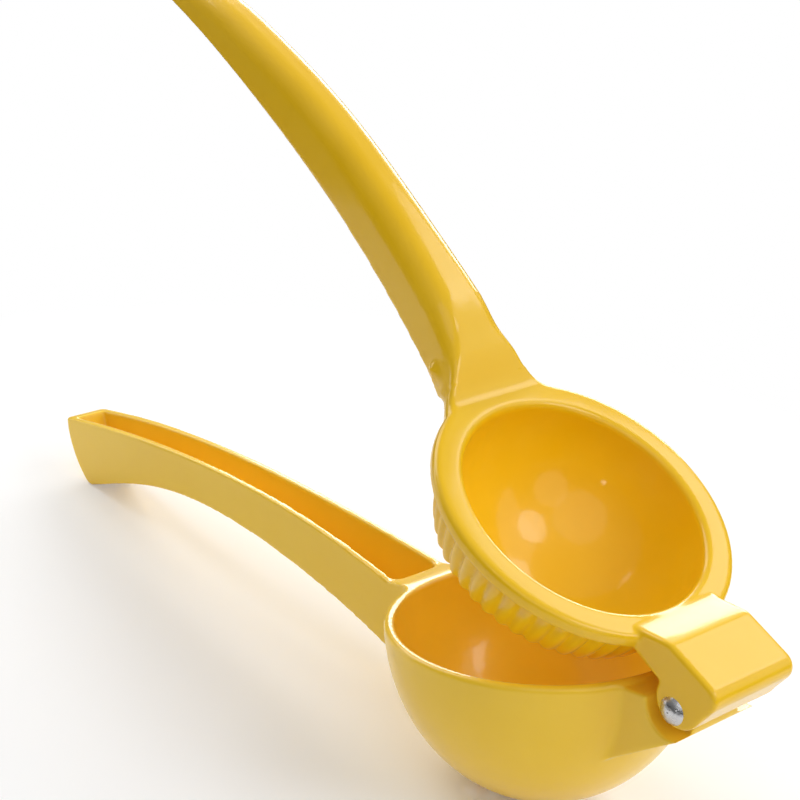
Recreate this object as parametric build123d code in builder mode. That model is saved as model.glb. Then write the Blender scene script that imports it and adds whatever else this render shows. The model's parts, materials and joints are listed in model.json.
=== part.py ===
"""Hinged lemon squeezer: two die-cast halves that turn on one rivet. All sizes in millimetres.

Each half is drawn in its own casting frame: x runs along the casting with 0 at the hinge pin, the bowl and the
handles lie at negative x, and z is square to the rim. The halves are then turned about the pin into place.
"""

import os
from math import cos, radians, sin, sqrt

from build123d import *

# Stance: the bowl and the end of the lower handle stand on the table, and the press half is held open
TILT = 10.4
OPENING = 35.1
PIN_X = 101.25

# Hinge
HINGE_WIDTH = 23.8
KNUCKLE_WIDTH = 13.8
KNUCKLE_R = 3.7
KNUCKLE_CLEARANCE = 0.3
SIDE_GAP = 0.2
COVE_R = 6.3
LUG_TOP = 0.85
RIVET_R = 1.9
RIVET_RUNNING_GAP = 0.06
RIVET_HEAD_R = 2.8
RIVET_HEAD_HEIGHT = 1.3

# Bowl
CUP_X = -43.5
BOWL_R = 33.5
BOWL_DEPTH = 37.8
BOWL_TOP = 1.73
BOWL_WALL = 2.2
DRAIN_R = 1.6
DRAIN_RINGS = ((6, 6.5), (12, 13.0))

# Press cup
FLANGE_R = 32.8
FLANGE_TOP = 5.9
FLANGE_BOTTOM = 2.65
CAVITY_R = 26.4
DOME_R = 28.7
FLANGE_TOP_EDGE = 1.2
FLANGE_LOWER_EDGE = 0.8
CAVITY_LIP = 1.5
DOME_ANGLE = 83
LIP_ANGLE = 3
ARM_BLEND = 4.0
ROOT_BLEND = 14.0
ROOT_HALF_WIDTH = 9.0
ROOT_END = -86.0
ROOT_LENGTH = 20.0
ARM_END = -8.0
ARM_EDGE = 0.8
FLUTES = 48
FLUTE_R = 1.95
FLUTE_PATH_R = 28.15
FLUTE_DROP = 1.5
FLUTE_TOP_ANGLE = 1
FLUTE_END_ANGLE = 27

# Handles
HANDLE_ROOT = -66.0
HANDLE_END = -213.5
CHANNEL_START = -82.0
CHANNEL_END = -211.2
MOUTH_CORNER = 2.5
TIP_CORNER = 1.0
ROOT_FILLET = 3.0
LUG_FILLET = 1.5
WALL = 1.9
WAIST = 6.1
WAIST_X = -140.0
MATE_X = -174.4
MATE_TOP = 11.2
MATE_R = 406.0
HANDLE_GAP = 0.5
ROOT_DEPTH = 13.1
TIP_DEPTH = 3.0
BACK_CORNER = 4.8
ROOT_CORNER = 1.5

LOWER_TURN = -TILT
UPPER_TURN = OPENING - TILT
SIDE = HINGE_WIDTH / 2
ROOM = 60.0


def bowl_reach(tilt):
    """How far the bowl reaches below its centre when it is tilted."""
    return sqrt((BOWL_R * sin(radians(tilt))) ** 2 + (BOWL_DEPTH * cos(radians(tilt))) ** 2)


PIN_Z = bowl_reach(TILT) - CUP_X * sin(radians(TILT)) - BOWL_TOP * cos(radians(TILT))
PIN = Vector(PIN_X, 0, PIN_Z)


def side_plane(turn, y=0.0):
    """Plane of the side outlines of a casting, seen from the near side."""
    along = Vector(1, 0, 0).rotate(Axis.Y, turn)
    return Plane(PIN + Vector(0, y, 0), x_dir=along, z_dir=(0, -1, 0))


def top_plane(turn, height=0.0):
    """Plane of a casting seen from above, at a height over the pin."""
    along = Vector(1, 0, 0).rotate(Axis.Y, turn)
    up = Vector(0, 0, 1).rotate(Axis.Y, turn)
    return Plane(PIN + up * height, x_dir=along, z_dir=up)


def cross_plane(turn, x):
    """Plane square to a casting's length: its x runs to the far side and its y up."""
    along = Vector(1, 0, 0).rotate(Axis.Y, turn)
    return Plane(PIN + along * x, x_dir=(0, 1, 0), z_dir=along)


def cup_axis(turn):
    """Axis of the bowl or of the press cup."""
    plane = top_plane(turn)
    return Axis(plane.from_local_coords((CUP_X, 0, 0)), plane.z_dir)


def edges_in(shapes, turn, low, high):
    """Edges whose middles lie between two corners of a box, mirrored to both sides, in a casting's own frame."""
    found = []
    for edge in shapes:
        middle = top_plane(turn).to_local_coords(edge.center(CenterOf.MASS))
        place = (middle.X, abs(middle.Y), middle.Z)
        if all(a < b < c for a, b, c in zip(low, place, high)):
            found.append(edge)
    return found


def ease(x, start, end):
    """0 before start, 1 after end, and a smooth step between them."""
    t = min(max((x - start) / (end - start), 0.0), 1.0)
    return t * t * (3 - 2 * t)


def mate_height(x):
    """Height of the arched line on which the closed handles meet."""
    return MATE_TOP - MATE_R + sqrt(MATE_R**2 - (x - MATE_X) ** 2)


def half_width(x):
    """Half the outer width of either handle, which widens towards the cup."""
    return WAIST + 2.35 * (max(x - WAIST_X, 0.0) / 58) ** 2


# ---------------------------------------------------------------- bowl and lower handle


def plan_outline(start, end, inset=0.0):
    """Draws a handle's plan from start to end, set in by a wall where asked."""
    stations = [start, -94, -106, -120, WAIST_X, end]
    near = Spline(*[(x, inset - half_width(x)) for x in stations])
    far = Spline(*[(x, half_width(x) - inset) for x in stations])
    Line(near @ 0, far @ 0)
    Line(near @ 1, far @ 1)


with BuildPart() as lower_channel:
    with BuildSketch(side_plane(LOWER_TURN)):
        with BuildLine():
            floor = Spline((CHANNEL_START, -11.0), (-100, -7.4), (-132, -0.5), (-160, 2.4), (-186, -0.4), (-202, -4.6))
            end = ThreePointArc(floor @ 1, (-207.6, 2.0), (CHANNEL_END, 12.5))
            Polyline(end @ 1, (CHANNEL_END, ROOM), (CHANNEL_START, ROOM), floor @ 0)
        make_face()
    extrude(amount=ROOM, both=True)
    with BuildSketch(top_plane(LOWER_TURN)):
        with BuildLine():
            plan_outline(CHANNEL_START, CHANNEL_END, WALL)
        make_face()
        fillet(vertices().group_by(Axis.X)[-1], radius=MOUTH_CORNER)
    extrude(amount=ROOM, both=True, mode=Mode.INTERSECT)

with BuildPart() as lug:
    with BuildSketch(side_plane(LOWER_TURN)):
        with BuildLine():
            Polyline(
                (-20, LUG_TOP),
                (0, LUG_TOP),
                (1, -1),
                (1, -6.25),
                (-17.5, -16.7),
                (-20, -16.7),
                close=True,
            )
        make_face()
        Circle(KNUCKLE_R)
    extrude(amount=SIDE, both=True)
    for side in (-1, 1):
        with BuildSketch(side_plane(LOWER_TURN, side * SIDE)):
            Circle(COVE_R)
        extrude(amount=side * (HINGE_WIDTH - KNUCKLE_WIDTH) / 2, mode=Mode.SUBTRACT)

with BuildPart() as bowl_room:
    with BuildSketch(side_plane(LOWER_TURN)):
        with BuildLine():
            reach = BOWL_R - BOWL_WALL / 2
            bottom = BOWL_DEPTH - BOWL_WALL / 2
            dish = EllipticalCenterArc((CUP_X, BOWL_TOP), reach, bottom, start_angle=-90, arc_size=90)
            Polyline(dish @ 1, (CUP_X + reach, ROOM), (CUP_X, ROOM), dish @ 0)
        make_face()
    revolve(axis=cup_axis(LOWER_TURN))

with BuildPart() as bowl:
    with BuildSketch(side_plane(LOWER_TURN)):
        with BuildLine():
            outside = EllipticalCenterArc((CUP_X, BOWL_TOP), BOWL_R, BOWL_DEPTH, start_angle=-90, arc_size=90)
            inside = EllipticalCenterArc(
                (CUP_X, BOWL_TOP), BOWL_R - BOWL_WALL, BOWL_DEPTH - BOWL_WALL, start_angle=-90, arc_size=90
            )
            Line(outside @ 1, inside @ 1)
            Line(outside @ 0, inside @ 0)
        make_face()
    revolve(axis=cup_axis(LOWER_TURN))
    rim_edges = edges().filter_by(GeomType.CIRCLE).sort_by(SortBy.RADIUS)
    fillet(rim_edges[-1], radius=1.0)
    fillet(rim_edges[-2], radius=0.6)

with BuildPart() as lower:
    with BuildSketch(side_plane(LOWER_TURN)):
        with BuildLine():
            rim_line = Line((HANDLE_ROOT, BOWL_TOP), (-76.6, BOWL_TOP))
            blend = Spline(
                rim_line @ 1,
                (-84, mate_height(-84)),
                tangents=((-1, 0), (-1, 0.23)),
            )
            edge = ThreePointArc(
                blend @ 1, (-150, mate_height(-150)), (HANDLE_END, mate_height(HANDLE_END))
            )
            end_wall = ThreePointArc(edge @ 1, (-210.2, -0.4), (-205.4, -6.2))
            corner = TangentArc(end_wall @ 1, (-202.3, -7.0), tangent=end_wall % 1)
            belly = Spline(
                corner @ 1,
                (-184.6, -2.3),
                (-162, 0.3),
                (-132, -2.6),
                (-100, -9.9),
                (-84, -14.8),
                tangents=((1, 0.27), (1, -0.33)),
            )
            Polyline(belly @ 1, (HANDLE_ROOT, -21), (HANDLE_ROOT, BOWL_TOP))
        make_face()
    extrude(amount=ROOM, both=True)
    with BuildSketch(top_plane(LOWER_TURN)):
        with BuildLine():
            plan_outline(HANDLE_ROOT, HANDLE_END)
        make_face()
        fillet(vertices().group_by(Axis.X)[0], radius=TIP_CORNER)
    extrude(amount=ROOM, both=True, mode=Mode.INTERSECT)
    add(lug.part)
    add(bowl_room.part, mode=Mode.SUBTRACT)
    add(bowl.part)
    add(lower_channel.part, mode=Mode.SUBTRACT)
    with BuildSketch(side_plane(LOWER_TURN)):
        Circle(RIVET_R + RIVET_RUNNING_GAP)
    extrude(amount=ROOM, both=True, mode=Mode.SUBTRACT)
    with BuildSketch(top_plane(LOWER_TURN)):
        with Locations((CUP_X, 0)):
            Circle(DRAIN_R)
            for count, radius in DRAIN_RINGS:
                with PolarLocations(radius, count):
                    Circle(DRAIN_R)
    extrude(amount=-ROOM, mode=Mode.SUBTRACT)
    fillet(edges_in(edges(), LOWER_TURN, (-75, -1, -21), (-70, 10, -9)), radius=ROOT_FILLET)
    fillet(edges_in(edges(), LOWER_TURN, (-15, SIDE - 0.1, -9), (-13, SIDE + 0.1, -6)), radius=LUG_FILLET)

# ---------------------------------------------------------------- press cup and upper handle

STATIONS = (-69, -71, -73, -75, -77.5, -80, -83, -87, -92, -98, -108, -122, -138, -155, -172, -190, HANDLE_END)


def crown_height(x):
    """Height of the upper handle's back, which sinks into the flange at its root."""
    depth = ROOT_DEPTH + (TIP_DEPTH - ROOT_DEPTH) * ease(-x, 128, 258)
    back = mate_height(x) + depth
    return back + (FLANGE_TOP - 0.1 - back) * ease(x, -85.5, -73)


def underside_height(x):
    """Height of the upper handle's lower edge, which rises to clear the bowl's rim."""
    edge = mate_height(x) + HANDLE_GAP
    return edge + (FLANGE_BOTTOM + 0.3 - edge) * ease(x, -82, -77)


def upper_half_width(x):
    """Half the upper handle's width, with its flare into the flange."""
    return half_width(x) + 5.5 * (max(x + 86, 0.0) / 13) ** 2


def upper_cross_section(half, top, bottom, corner):
    """Draws a section with square lower corners and round upper ones."""
    near = Line((-half, bottom), (-half, top - corner))
    near_corner = TangentArc(near @ 1, (corner - half, top), tangent=(0, 1))
    back = Line(near_corner @ 1, (half - corner, top))
    far_corner = TangentArc(back @ 1, (half, top - corner), tangent=(1, 0))
    far = Line(far_corner @ 1, (half, bottom))
    Line(far @ 1, near @ 0)


with BuildPart() as upper_handle:
    for x in STATIONS:
        crown = crown_height(x)
        underside = underside_height(x)
        corner = min(ROOT_CORNER + (BACK_CORNER - ROOT_CORNER) * ease(-x, 77, 90), 0.6 * (crown - underside))
        with BuildSketch(cross_plane(UPPER_TURN, x)):
            with BuildLine():
                upper_cross_section(upper_half_width(x), crown, underside, corner)
            make_face()
    loft()

with BuildPart() as upper_channel:
    for x in [CHANNEL_END, *reversed(STATIONS[6:-1]), CHANNEL_START]:
        with BuildSketch(cross_plane(UPPER_TURN, x)):
            with BuildLine():
                top = crown_height(x + 4) - WALL
                upper_cross_section(half_width(x) - WALL, top, -ROOM / 4, 2.0)
            make_face()
    loft()

with BuildPart() as cup_room:
    with BuildSketch(side_plane(UPPER_TURN)):
        with BuildLine():
            middle = (CAVITY_R + DOME_R) / 2
            dish = CenterArc((CUP_X, FLANGE_TOP), middle, -90, 90)
            Polyline(dish @ 1, (CUP_X + middle, ROOM), (CUP_X, ROOM), dish @ 0)
        make_face()
    revolve(axis=cup_axis(UPPER_TURN))

with BuildPart() as flange:
    with BuildSketch(top_plane(UPPER_TURN, FLANGE_BOTTOM)):
        with Locations((CUP_X, 0)):
            Circle(FLANGE_R)
        with Locations((ROOT_END, 0)):
            Rectangle(ROOT_LENGTH, 2 * ROOT_HALF_WIDTH, align=(Align.MIN, Align.CENTER))
        with Locations((ARM_END, 0)):
            Rectangle(ROOT_LENGTH, HINGE_WIDTH - 2 * SIDE_GAP, align=(Align.MAX, Align.CENTER))
        root_corners = vertices().filter_by(lambda v: CUP_X - FLANGE_R < v.X < CUP_X)
        arm_corners = vertices().filter_by(lambda v: CUP_X < v.X < CUP_X + FLANGE_R)
        fillet(root_corners, radius=ROOT_BLEND)
        fillet(arm_corners, radius=ARM_BLEND)
    extrude(amount=FLANGE_TOP - FLANGE_BOTTOM)
    flange_faces = faces().sort_by(cup_axis(UPPER_TURN))
    fillet(flange_faces[-1].edges(), radius=FLANGE_TOP_EDGE)
    fillet(flange_faces[0].edges(), radius=FLANGE_LOWER_EDGE)

with BuildPart() as flute:
    with BuildLine(Plane.XZ) as flute_path:
        run = CenterArc((0, 0), FLUTE_PATH_R, -FLUTE_TOP_ANGLE, FLUTE_TOP_ANGLE - FLUTE_END_ANGLE)
    with BuildSketch(Plane(run @ 0, z_dir=run % 0)):
        Circle(FLUTE_R)
    sweep()
    with Locations(run @ 1):
        Sphere(FLUTE_R)

with BuildPart() as press_cup:
    with BuildSketch(side_plane(UPPER_TURN)):
        with BuildLine():
            middle = (CUP_X, FLANGE_TOP)
            dome = CenterArc(middle, DOME_R, -90, DOME_ANGLE)
            Polyline(dome @ 1, (CUP_X + DOME_R, FLANGE_TOP), middle, dome @ 0)
        make_face()
    revolve(axis=cup_axis(UPPER_TURN))
    with Locations(top_plane(UPPER_TURN, FLANGE_TOP - FLUTE_DROP).location * Pos(CUP_X, 0, 0)):
        with PolarLocations(0, FLUTES):
            add(flute.part)
    with BuildSketch(side_plane(UPPER_TURN)):
        with BuildLine():
            cavity = CenterArc(middle, CAVITY_R, -LIP_ANGLE, LIP_ANGLE - 90)
            lip = TangentArc((CUP_X + CAVITY_R + CAVITY_LIP, FLANGE_TOP), cavity @ 0, tangent=(-1, 0))
            Polyline(cavity @ 1, middle, lip @ 0)
        make_face()
    revolve(axis=cup_axis(UPPER_TURN), mode=Mode.SUBTRACT)

with BuildPart() as arm:
    with BuildSketch(side_plane(UPPER_TURN)):
        with BuildLine():
            ramp = Spline((-18, 5.1), (-14.7, 6.6), (-11.6, 8.4), (-8, 10.3))
            flat = Line(ramp @ 1, (2.9, 11.0))
            nose = TangentArc(flat @ 1, (6.1, 7.8), tangent=flat % 1)
            Polyline(nose @ 1, (5.3, 2.45), (0, 2.45), (0, 2.2), (-13, 2.2), (-18, 3.6), ramp @ 0)
        make_face()
        with Locations((-0.1, 2.45)):
            Circle(5.4)
    extrude(amount=SIDE, both=True)
    fillet(edges_in(edges(), UPPER_TURN, (-18, SIDE - 0.1, 7), (7, SIDE + 0.1, 12)), radius=ARM_EDGE)

with BuildPart() as knuckle_slot:
    with BuildSketch(side_plane(UPPER_TURN)):
        slot_r = KNUCKLE_R + KNUCKLE_CLEARANCE
        with BuildLine():
            Polyline((-12, 2.2), (0, 2.2), (slot_r, 0.8), (9, 0.8), (9, -9), (-12, -9), close=True)
        make_face()
        Circle(slot_r)
    extrude(amount=KNUCKLE_WIDTH / 2 + SIDE_GAP, both=True)

with BuildPart() as upper:
    add(upper_handle.part)
    add(arm.part)
    add(flange.part)
    add(upper_channel.part, mode=Mode.SUBTRACT)
    add(cup_room.part, mode=Mode.SUBTRACT)
    add(press_cup.part)
    add(knuckle_slot.part, mode=Mode.SUBTRACT)
    with BuildSketch(side_plane(UPPER_TURN)):
        Circle(RIVET_R)
    extrude(amount=ROOM, both=True, mode=Mode.SUBTRACT)

# ---------------------------------------------------------------- rivet

with BuildPart() as rivet:
    with BuildSketch(Plane(PIN, x_dir=(0, 1, 0), z_dir=(0, 0, 1))):
        with BuildLine():
            near_head = TangentArc((-SIDE - RIVET_HEAD_HEIGHT, 0), (-SIDE, RIVET_HEAD_R), tangent=(0, 1))
            Polyline(near_head @ 1, (-SIDE, RIVET_R), (SIDE, RIVET_R), (SIDE, RIVET_HEAD_R))
            far_head = TangentArc((SIDE + RIVET_HEAD_HEIGHT, 0), (SIDE, RIVET_HEAD_R), tangent=(0, 1))
            Line(near_head @ 0, far_head @ 0)
        make_face()
    revolve(axis=Axis(PIN, (0, 1, 0)))

PARTS = {
    "bowl_and_lower_handle": lower,
    "press_cup_and_upper_handle": upper,
    "hinge_rivet": rivet,
}
os.makedirs("parts", exist_ok=True)
for name, piece in PARTS.items():
    piece.part.label = name
    export_step(piece.part, f"parts/{name}.step")
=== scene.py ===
"""Hinged lemon squeezer: the enamelled skins of both castings, the peened rivet and a small studio."""

import json
from math import cos, radians, sin

import bpy
from bpy.props import FloatProperty, FloatVectorProperty, IntProperty, PointerProperty
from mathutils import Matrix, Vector


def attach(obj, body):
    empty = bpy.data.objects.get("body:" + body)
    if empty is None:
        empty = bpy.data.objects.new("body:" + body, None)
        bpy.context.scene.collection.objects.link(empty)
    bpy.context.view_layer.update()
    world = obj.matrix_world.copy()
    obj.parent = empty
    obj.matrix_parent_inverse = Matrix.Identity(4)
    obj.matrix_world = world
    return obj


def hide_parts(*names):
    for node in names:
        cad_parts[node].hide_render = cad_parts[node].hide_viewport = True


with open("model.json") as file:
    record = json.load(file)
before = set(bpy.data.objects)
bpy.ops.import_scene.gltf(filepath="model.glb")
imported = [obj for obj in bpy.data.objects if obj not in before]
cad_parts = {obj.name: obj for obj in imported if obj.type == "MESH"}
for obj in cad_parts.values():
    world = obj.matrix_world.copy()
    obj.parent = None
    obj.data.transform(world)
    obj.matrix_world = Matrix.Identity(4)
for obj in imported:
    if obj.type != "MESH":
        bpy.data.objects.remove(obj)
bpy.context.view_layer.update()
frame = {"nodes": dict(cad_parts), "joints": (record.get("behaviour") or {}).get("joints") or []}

bl_info = {
    "name": "Hinged Lemon Squeezer",
    "version": (1, 0, 0),
    "blender": (4, 5, 0),
    "location": "View3D > Sidebar > Squeezer",
    "description": "Dresses the solids of a hinged lemon squeezer in gloss enamel and steel",
    "category": "Object",
}

MM = 0.001
LOWER = "bowl_and_lower_handle"
UPPER = "press_cup_and_upper_handle"
RIVET = "hinge_rivet"
HINGE = Vector(frame["joints"][0]["pos_m"])

# At rest the upper casting is turned this far from level.
# OUT runs along it from cup to hinge, and UP is square to its flange.
UPPER_TURN = radians(24.7)
UP = Vector((sin(UPPER_TURN), 0, cos(UPPER_TURN)))
OUT = Vector((cos(UPPER_TURN), 0, -sin(UPPER_TURN)))

# The root of the upper handle, in millimetres along OUT and UP from the hinge
SHOULDER_ALONG = -85.0
SHOULDER_HEIGHT = 14.2
SHOULDER_STRIP = 0.6
SHOULDER_DEPTH = 1.5
SHOULDER_HALF_WIDTH = 9.0
SHOULDER_DROP = 1.5
SHOULDER_REACH = 7.0
FACES_UP = 0.3
ROOT_START = -93.0
ROOT_END = -77.5
ROOT_FLOOR = 4.0
ROOT_HALF_WIDTH = 16.0
ROOT_STROKES = 24

# Vertices closer than this are one, and each smoothing stroke goes this far towards the neighbours.
WELD = 0.002 * MM
STROKE = 0.5

# The enamel's clear coat, its waves and pools per metre, and how far gloss and colour change over them
COAT_ROUGHNESS = 0.11
ENAMEL_SPECULAR = 0.2
WAVE_SIZE = 420.0
POOL_SIZE = 60.0
POOLING_START = 0.35
POOLING_FULL = 0.9
GLOSS_SPREAD = 0.03
THIN_RED = 1.03
THIN_GREEN = 1.06
THIN_BLUE = 0.015

# The rivet's dents per metre, their depth, and how much smoother or rougher the wear leaves it
PEENING_SIZE = 650.0
PEENING_DEPTH = 0.12 * MM
WEAR_SMOOTHER = 0.08
WEAR_ROUGHER = 0.2

FLOOR_ROUGHNESS = 0.9
FLOOR_SPECULAR = 0.1

# The floor turns white to the camera between these two distances from the middle.
WHITE_FROM = 0.05
WHITE_BY = 0.21

# Light of the room from its walls to its ceiling, between two heights of the ray's direction
WALL_LIGHT = 0.05
CEILING_LIGHT = 0.42
WALL_TOP = 0.1
CEILING_START = 0.9

LAMP_TARGET = Vector((0.03, 0, 0.05))
CAMERA_PLACE = (0.2876, -0.2791, 0.2454)
CAMERA_TURN = (68.822, -5.21, 49.912)
CAMERA_SHIFT = (0.1, -0.15)
CAMERA_SENSOR = 36.0


class SqueezerEnamel(bpy.types.PropertyGroup):
    """Sizes and colours of the gloss enamel on both castings, whose two colours are lit and shaded copies of
    one enamel.
    """

    # Lit and shaded copies of one enamel: the lower one is set paler, a painted sheen from the lit floor on
    # the bowl's handle.
    lower_colour_painted_sheen: FloatVectorProperty(
        name="Lower Enamel",
        description="Colour of the enamel on the bowl and its handle",
        subtype="COLOR",
        default=(0.96, 0.615, 0.03),
        min=0,
        max=1,
    )
    # The upper one is set deeper, a painted shade on the near side of the upper handle.
    upper_colour_painted_shade: FloatVectorProperty(
        name="Upper Enamel",
        description="Colour of the enamel on the press cup and its handle",
        subtype="COLOR",
        default=(0.95, 0.565, 0.003),
        min=0,
        max=1,
    )
    roughness: FloatProperty(
        name="Roughness",
        description="Roughness of the enamel",
        subtype="FACTOR",
        default=0.36,
        min=0,
        max=1,
    )
    coat: FloatProperty(
        name="Clear Coat",
        description="Weight of the clear top coat",
        subtype="FACTOR",
        default=0.6,
        min=0,
        max=1,
    )
    peel: FloatProperty(
        name="Orange Peel",
        description="Height of the fine waves in the enamel",
        unit="LENGTH",
        default=0.02 * MM,
    )
    grain: FloatProperty(
        name="Skin Grain",
        description="Size of the mesh of the enamel skin",
        unit="LENGTH",
        default=0.3 * MM,
    )
    flow: IntProperty(
        name="Flow",
        description="How far the wet enamel rounds the edges",
        default=14,
        min=0,
        max=50,
    )
    triangles: IntProperty(
        name="Triangles",
        description="Triangles of each skin",
        default=190000,
        min=1000,
    )


class SqueezerSteel(bpy.types.PropertyGroup):
    """Colour and roughness of the rivet."""

    colour: FloatVectorProperty(
        name="Steel",
        description="Colour of the rivet",
        subtype="COLOR",
        default=(0.62, 0.62, 0.63),
        min=0,
        max=1,
    )
    roughness: FloatProperty(
        name="Roughness",
        description="Roughness of the steel",
        subtype="FACTOR",
        default=0.22,
        min=0,
        max=1,
    )


class SqueezerStudio(bpy.types.PropertyGroup):
    """Floor and camera."""

    floor_colour: FloatVectorProperty(
        name="Floor",
        description="Colour of the floor",
        subtype="COLOR",
        default=(0.93, 0.93, 0.93),
        min=0,
        max=1,
    )
    floor_size: FloatProperty(
        name="Floor Size",
        description="Length of the floor",
        unit="LENGTH",
        default=0.52,
    )
    lens: FloatProperty(
        name="Lens",
        description="Focal length of the camera, in millimetres",
        unit="CAMERA",
        default=88.7,
    )


# ---------------------------------------------------------------- helpers


def settings(name):
    """One of the three groups of settings."""
    return getattr(bpy.context.scene, name)


def select_only(piece):
    """Makes one object active and the only selected one."""
    bpy.ops.object.select_all(action="DESELECT")
    piece.select_set(True)
    bpy.context.view_layer.objects.active = piece


def apply_modifier(piece, kind, **values):
    """Adds a modifier with its values and applies it."""
    modifier = piece.modifiers.new(kind.title(), kind)
    for key, value in values.items():
        setattr(modifier, key, value)
    select_only(piece)
    bpy.ops.object.modifier_apply(modifier=modifier.name)


def fill(shader_node, **inputs):
    """Sets inputs of a shader node by name, with _ where the name has a space."""
    for key, value in inputs.items():
        shader_node.inputs[key.replace("_", " ")].default_value = value


def node(tree, kind, label, **inputs):
    """Adds a shader node with a label and the values of its inputs."""
    made = tree.nodes.new(kind)
    made.label = label
    fill(made, **inputs)
    return made


def wire(tree, *links):
    """Links shader nodes. Each link is a node, its output, another node and its input."""
    for source, output, target, entry in links:
        tree.links.new(source.outputs[output], target.inputs[entry])


def new_material(name):
    """A new node material, its node tree and its Principled BSDF."""
    material = bpy.data.materials.new(name)
    material.use_nodes = True
    tree = material.node_tree
    shader = next(n for n in tree.nodes if n.type == "BSDF_PRINCIPLED")
    return material, tree, shader


# ---------------------------------------------------------------- finishes


def coating_waves():
    """Node group with the height of the orange peel and a mask of where the colour pools."""
    group = bpy.data.node_groups.new("Coating Waves", "ShaderNodeTree")
    for name in ("Wave Size", "Pool Size"):
        group.interface.new_socket(name, in_out="INPUT", socket_type="NodeSocketFloat")
    for name in ("Height", "Pooling"):
        group.interface.new_socket(name, in_out="OUTPUT", socket_type="NodeSocketFloat")
    entry = group.nodes.new("NodeGroupInput")
    leave = group.nodes.new("NodeGroupOutput")
    place = node(group, "ShaderNodeTexCoord", "Piece")
    waves = node(group, "ShaderNodeTexNoise", "Orange Peel", Detail=2.0, Roughness=0.4)
    pools = node(group, "ShaderNodeTexNoise", "Pooling", Detail=3.0, Roughness=0.5)
    wire(
        group,
        (place, "Object", waves, "Vector"),
        (place, "Object", pools, "Vector"),
        (entry, "Wave Size", waves, "Scale"),
        (entry, "Pool Size", pools, "Scale"),
        (waves, "Fac", leave, "Height"),
        (pools, "Fac", leave, "Pooling"),
    )
    return group


def shared_waves():
    """The coating's waves, made once for both castings."""
    return bpy.data.node_groups.get("Coating Waves") or coating_waves()


def enamel_material(name, deep):
    """Gloss enamel: warm yellow, a touch paler where it runs thin, with orange peel."""
    look = settings("squeezer_enamel")
    thin = (deep[0] * THIN_RED, deep[1] * THIN_GREEN, deep[2] + THIN_BLUE)
    material, tree, shader = new_material(name)
    fill(shader, Coat_Weight=look.coat, Coat_Roughness=COAT_ROUGHNESS, Specular_IOR_Level=ENAMEL_SPECULAR)
    coating = tree.nodes.new("ShaderNodeGroup")
    coating.node_tree = shared_waves()
    fill(coating, Wave_Size=WAVE_SIZE, Pool_Size=POOL_SIZE)
    colour = node(tree, "ShaderNodeMix", "Pooling")
    colour.data_type = "RGBA"
    fill(colour, A=(*deep, 1), B=(*thin, 1))
    gloss = node(tree, "ShaderNodeMapRange", "Gloss")
    fill(gloss, To_Min=look.roughness - GLOSS_SPREAD, To_Max=look.roughness + GLOSS_SPREAD)
    bump = node(tree, "ShaderNodeBump", "Orange Peel", Strength=1.0, Distance=look.peel)
    amount = node(tree, "ShaderNodeMapRange", "Pooling Amount", From_Min=POOLING_START, From_Max=POOLING_FULL)
    wire(
        tree,
        (coating, "Pooling", amount, "Value"),
        (amount, "Result", colour, "Factor"),
        (coating, "Pooling", gloss, "Value"),
        (coating, "Height", bump, "Height"),
        (colour, "Result", shader, "Base Color"),
        (gloss, "Result", shader, "Roughness"),
        (bump, "Normal", shader, "Normal"),
    )
    return material


def steel_material():
    """Bright steel with the small dents of the peening tool."""
    look = settings("squeezer_steel")
    material, tree, shader = new_material("Rivet Steel")
    fill(shader, Base_Color=(*look.colour, 1), Metallic=1.0)
    place = node(tree, "ShaderNodeTexCoord", "Piece")
    dents = node(tree, "ShaderNodeTexNoise", "Peening", Scale=PEENING_SIZE, Detail=3.0, Roughness=0.55)
    bump = node(tree, "ShaderNodeBump", "Peening", Strength=1.0, Distance=PEENING_DEPTH)
    rough = node(tree, "ShaderNodeMapRange", "Wear")
    fill(rough, To_Min=look.roughness - WEAR_SMOOTHER, To_Max=look.roughness + WEAR_ROUGHER)
    wire(
        tree,
        (place, "Object", dents, "Vector"),
        (dents, "Fac", bump, "Height"),
        (dents, "Fac", rough, "Value"),
        (rough, "Result", shader, "Roughness"),
        (bump, "Normal", shader, "Normal"),
    )
    return material


# ---------------------------------------------------------------- pieces


def enamel_skin(name, solid, body, slot, colour):
    """Covers a casting with its enamel skin, which rounds every edge as the wet coating does."""
    look = settings("squeezer_enamel")
    skin = frame["nodes"][solid].copy()
    skin.data = skin.data.copy()
    skin.name = name
    skin.parent = None
    for key in list(skin.keys()):
        del skin[key]
    bpy.context.scene.collection.objects.link(skin)
    select_only(skin)
    bpy.ops.mesh.customdata_custom_splitnormals_clear()
    bpy.ops.object.mode_set(mode="EDIT")
    bpy.ops.mesh.select_all(action="SELECT")
    bpy.ops.mesh.remove_doubles(threshold=WELD)
    bpy.ops.object.mode_set(mode="OBJECT")
    apply_modifier(skin, "REMESH", mode="VOXEL", voxel_size=look.grain, adaptivity=0.0)
    apply_modifier(skin, "SMOOTH", factor=STROKE, iterations=look.flow)
    apply_modifier(skin, "DECIMATE", ratio=min(1.0, look.triangles / (2 * len(skin.data.polygons))))
    select_only(skin)
    bpy.ops.object.shade_smooth()
    skin.data.materials.clear()
    skin.data.materials.append(enamel_material(slot.replace("_", " ").title(), colour))
    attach(skin, body)
    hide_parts(solid)
    return skin


def select_places(skin, wanted):
    """Selects the wanted vertices, told by their place on the upper casting and their tilt, for an edit."""
    select_only(skin)
    bpy.ops.object.mode_set(mode="EDIT")
    bpy.ops.mesh.select_mode(type="VERT")
    bpy.ops.mesh.select_all(action="DESELECT")
    bpy.ops.object.mode_set(mode="OBJECT")
    for vertex in skin.data.vertices:
        place = (vertex.co - HINGE) / MM
        vertex.select = wanted(place.dot(OUT), abs(place.y), place.dot(UP), vertex.normal.dot(UP))
    bpy.ops.object.mode_set(mode="EDIT")


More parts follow.
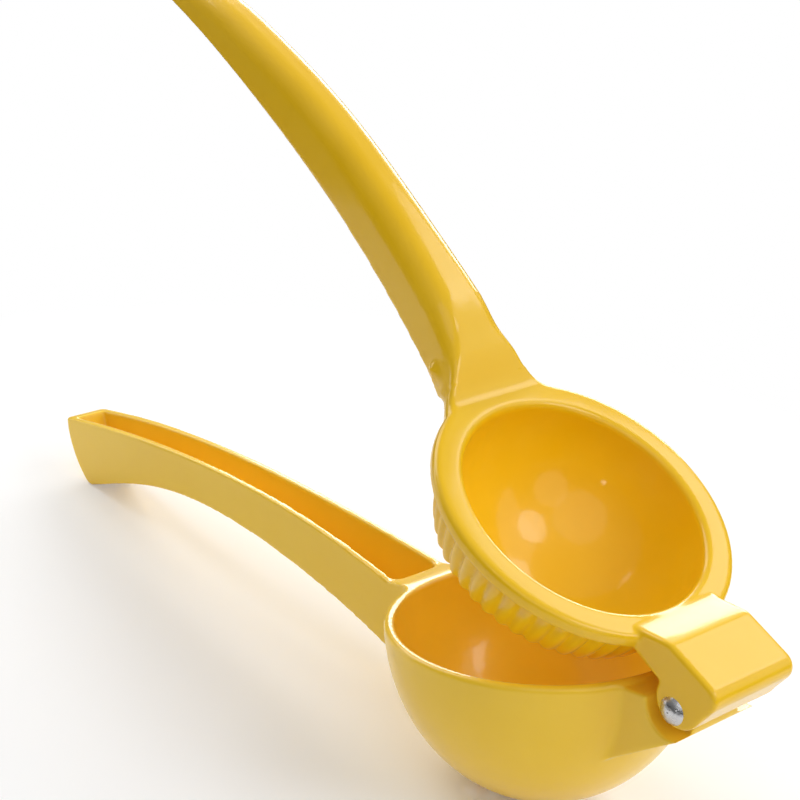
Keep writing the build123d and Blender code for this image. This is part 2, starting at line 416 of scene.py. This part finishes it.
def on_shoulder(along, across, height, tilt):
    """Whether a place lies on the narrow strip across the top of the shoulder."""
    on_strip = abs(along - SHOULDER_ALONG) < SHOULDER_STRIP and across < SHOULDER_HALF_WIDTH
    return on_strip and abs(height - SHOULDER_HEIGHT) < SHOULDER_DEPTH and tilt > FACES_UP


def on_root(along, across, height, tilt):
    """Whether a place lies on the root of the handle, short of the flange."""
    return ROOT_START < along < ROOT_END and across < ROOT_HALF_WIDTH and height > ROOT_FLOOR


def ease_root(skin):
    """Lowers the shoulder of the upper handle and rubs its root smooth, so it runs into the flange."""
    select_places(skin, on_shoulder)
    bpy.ops.transform.translate(
        value=UP * -SHOULDER_DROP * MM,
        use_proportional_edit=True,
        proportional_edit_falloff="SMOOTH",
        proportional_size=SHOULDER_REACH * MM,
    )
    bpy.ops.object.mode_set(mode="OBJECT")
    select_places(skin, on_root)
    bpy.ops.mesh.vertices_smooth(factor=STROKE, repeat=ROOT_STROKES)
    bpy.ops.object.mode_set(mode="OBJECT")


class SQUEEZER_OT_lower_skin(bpy.types.Operator):
    """Enamels the bowl, its handle and the hinge lug"""

    bl_idname = "squeezer.lower_skin"
    bl_label = "Enamel Lower Casting"

    def execute(self, context):
        # The paler lower colour carries painted sheen.
        colour = settings("squeezer_enamel").lower_colour_painted_sheen
        enamel_skin("lower_casting_enamel", LOWER, "lower_half", "yellow_enamel_lower", colour)
        return {"FINISHED"}


class SQUEEZER_OT_upper_skin(bpy.types.Operator):
    """Enamels the press cup, its handle and the hinge arm"""

    bl_idname = "squeezer.upper_skin"
    bl_label = "Enamel Upper Casting"

    def execute(self, context):
        # The deeper upper colour carries painted shade.
        colour = settings("squeezer_enamel").upper_colour_painted_shade
        skin = enamel_skin("upper_casting_enamel", UPPER, "upper_half", "yellow_enamel_upper", colour)
        ease_root(skin)
        return {"FINISHED"}


class SQUEEZER_OT_rivet(bpy.types.Operator):
    """Gives the rivet its steel"""

    bl_idname = "squeezer.rivet"
    bl_label = "Rivet"

    def execute(self, context):
        rivet = frame["nodes"][RIVET]
        rivet.data.materials.clear()
        rivet.data.materials.append(steel_material())
        return {"FINISHED"}


# ---------------------------------------------------------------- studio


def area_lamp(name, bearing, rise, distance, power, size, height=None):
    """A soft lamp that looks at the squeezer: a rectangle where a height is given, and else a disk."""
    data = bpy.data.lights.new(name, "AREA")
    data.shape = "RECTANGLE" if height else "DISK"
    data.size = size
    if height:
        data.size_y = height
    data.energy = power
    turn, lift = radians(bearing), radians(rise)
    way = Vector((cos(turn) * cos(lift), sin(turn) * cos(lift), sin(lift)))
    lamp = bpy.data.objects.new(name, data)
    lamp.location = LAMP_TARGET + way * distance
    lamp.rotation_euler = (-way).to_track_quat("-Z", "Y").to_euler()
    bpy.context.scene.collection.objects.link(lamp)


def floor_material():
    """Pale floor that takes the object's shadow and shows white to the camera far from it."""
    look = settings("squeezer_studio")
    material, tree, shader = new_material("Pale Floor")
    fill(shader, Base_Color=(*look.floor_colour, 1))
    fill(shader, Roughness=FLOOR_ROUGHNESS, Specular_IOR_Level=FLOOR_SPECULAR)
    place = node(tree, "ShaderNodeTexCoord", "Floor")
    distance = tree.nodes.new("ShaderNodeVectorMath")
    distance.operation = "LENGTH"
    fade = node(tree, "ShaderNodeMapRange", "White Beyond", From_Min=WHITE_FROM, From_Max=WHITE_BY)
    path = tree.nodes.new("ShaderNodeLightPath")
    seen = tree.nodes.new("ShaderNodeMath")
    seen.operation = "MULTIPLY"
    white = node(tree, "ShaderNodeEmission", "White", Strength=1.0)
    mix = tree.nodes.new("ShaderNodeMixShader")
    output = next(n for n in tree.nodes if n.type == "OUTPUT_MATERIAL")
    wire(
        tree,
        (place, "Object", distance, 0),
        (distance, "Value", fade, "Value"),
        (fade, "Result", seen, 0),
        (path, "Is Camera Ray", seen, 1),
        (seen, "Value", mix, 0),
        (shader, "BSDF", mix, 1),
        (white, "Emission", mix, 2),
        (mix, "Shader", output, "Surface"),
    )
    return material


def make_world():
    """White to the camera, and to everything else a dim room with a paler ceiling."""
    world = bpy.data.worlds.new("Studio")
    bpy.context.scene.world = world
    world.use_nodes = True
    tree = world.node_tree
    background = next(n for n in tree.nodes if n.type == "BACKGROUND")
    fill(background, Color=(1, 1, 1, 1))
    place = node(tree, "ShaderNodeTexCoord", "Direction")
    height = tree.nodes.new("ShaderNodeSeparateXYZ")
    room = node(tree, "ShaderNodeMapRange", "Wall to Ceiling", From_Min=WALL_TOP, From_Max=CEILING_START)
    fill(room, To_Min=WALL_LIGHT, To_Max=CEILING_LIGHT)
    path = tree.nodes.new("ShaderNodeLightPath")
    strength = tree.nodes.new("ShaderNodeMath")
    strength.operation = "MAXIMUM"
    wire(
        tree,
        (place, "Generated", height, "Vector"),
        (height, "Z", room, "Value"),
        (room, "Result", strength, 0),
        (path, "Is Camera Ray", strength, 1),
        (strength, "Value", background, "Strength"),
    )


def make_camera():
    """The camera, which looks down from the hinge's end with a slight tilt."""
    data = bpy.data.cameras.new("main_view")
    data.lens = settings("squeezer_studio").lens
    data.sensor_width = CAMERA_SENSOR
    data.shift_x, data.shift_y = CAMERA_SHIFT
    camera = bpy.data.objects.new("main_view", data)
    camera.location = CAMERA_PLACE
    camera.rotation_euler = [radians(angle) for angle in CAMERA_TURN]
    bpy.context.scene.collection.objects.link(camera)
    bpy.context.scene.camera = camera


class SQUEEZER_OT_studio(bpy.types.Operator):
    """Sets up the floor, the lamps and the camera"""

    bl_idname = "squeezer.studio"
    bl_label = "Studio"

    def execute(self, context):
        bpy.ops.object.select_all(action="DESELECT")
        bpy.ops.mesh.primitive_plane_add(size=settings("squeezer_studio").floor_size, location=(0, 0, 0))
        floor = context.active_object
        floor.name = "studio_floor"
        floor.data.materials.append(floor_material())
        make_world()
        area_lamp("window_behind", bearing=125, rise=20, distance=1.0, power=5.8, size=0.8, height=0.3)
        area_lamp("window_key", bearing=77, rise=44, distance=1.0, power=1.1, size=0.4, height=0.28)
        area_lamp("window_left", bearing=180, rise=38, distance=0.9, power=3.3, size=0.6, height=0.6)
        area_lamp("card_left", bearing=200, rise=6, distance=0.8, power=0.5, size=0.3, height=0.3)
        area_lamp("card_right", bearing=45, rise=30, distance=1.0, power=2.3, size=0.9, height=0.9)
        area_lamp("window_right", bearing=15, rise=40, distance=0.9, power=1.6, size=0.42)
        area_lamp("low_right", bearing=345, rise=15, distance=0.9, power=0.6, size=0.5)
        area_lamp("front", bearing=316, rise=40, distance=0.9, power=1.25, size=0.8)
        area_lamp("spark", bearing=299, rise=6, distance=0.8, power=0.04, size=0.04)
        make_camera()
        context.scene.view_settings.view_transform = "Standard"
        return {"FINISHED"}


class SQUEEZER_PT_panel(bpy.types.Panel):
    """Lists the settings and the steps"""

    bl_label = "Lemon Squeezer"
    bl_idname = "SQUEEZER_PT_panel"
    bl_space_type = "VIEW_3D"
    bl_region_type = "UI"
    bl_category = "Squeezer"

    def draw(self, context):
        for group in GROUPS:
            look = getattr(context.scene, group)
            for key in look.__annotations__:
                self.layout.prop(look, key)
        for step in STEPS:
            self.layout.operator(step.bl_idname)


GROUPS = {
    "squeezer_enamel": SqueezerEnamel,
    "squeezer_steel": SqueezerSteel,
    "squeezer_studio": SqueezerStudio,
}
STEPS = (SQUEEZER_OT_studio, SQUEEZER_OT_lower_skin, SQUEEZER_OT_upper_skin, SQUEEZER_OT_rivet)


def register():
    """Registers the settings, the steps and the panel."""
    for group, kind in GROUPS.items():
        bpy.utils.register_class(kind)
        setattr(bpy.types.Scene, group, PointerProperty(type=kind))
    for kind in (*STEPS, SQUEEZER_PT_panel):
        bpy.utils.register_class(kind)


def unregister():
    """Takes the panel, the steps and the settings away again."""
    for kind in reversed((*STEPS, SQUEEZER_PT_panel)):
        bpy.utils.unregister_class(kind)
    for group, kind in reversed(GROUPS.items()):
        delattr(bpy.types.Scene, group)
        bpy.utils.unregister_class(kind)


def main():
    """Dresses the squeezer and sets up the studio."""
    register()
    bpy.ops.squeezer.studio()
    bpy.ops.squeezer.lower_skin()
    bpy.ops.squeezer.upper_skin()
    bpy.ops.squeezer.rivet()


if __name__ == "__main__":
    main()
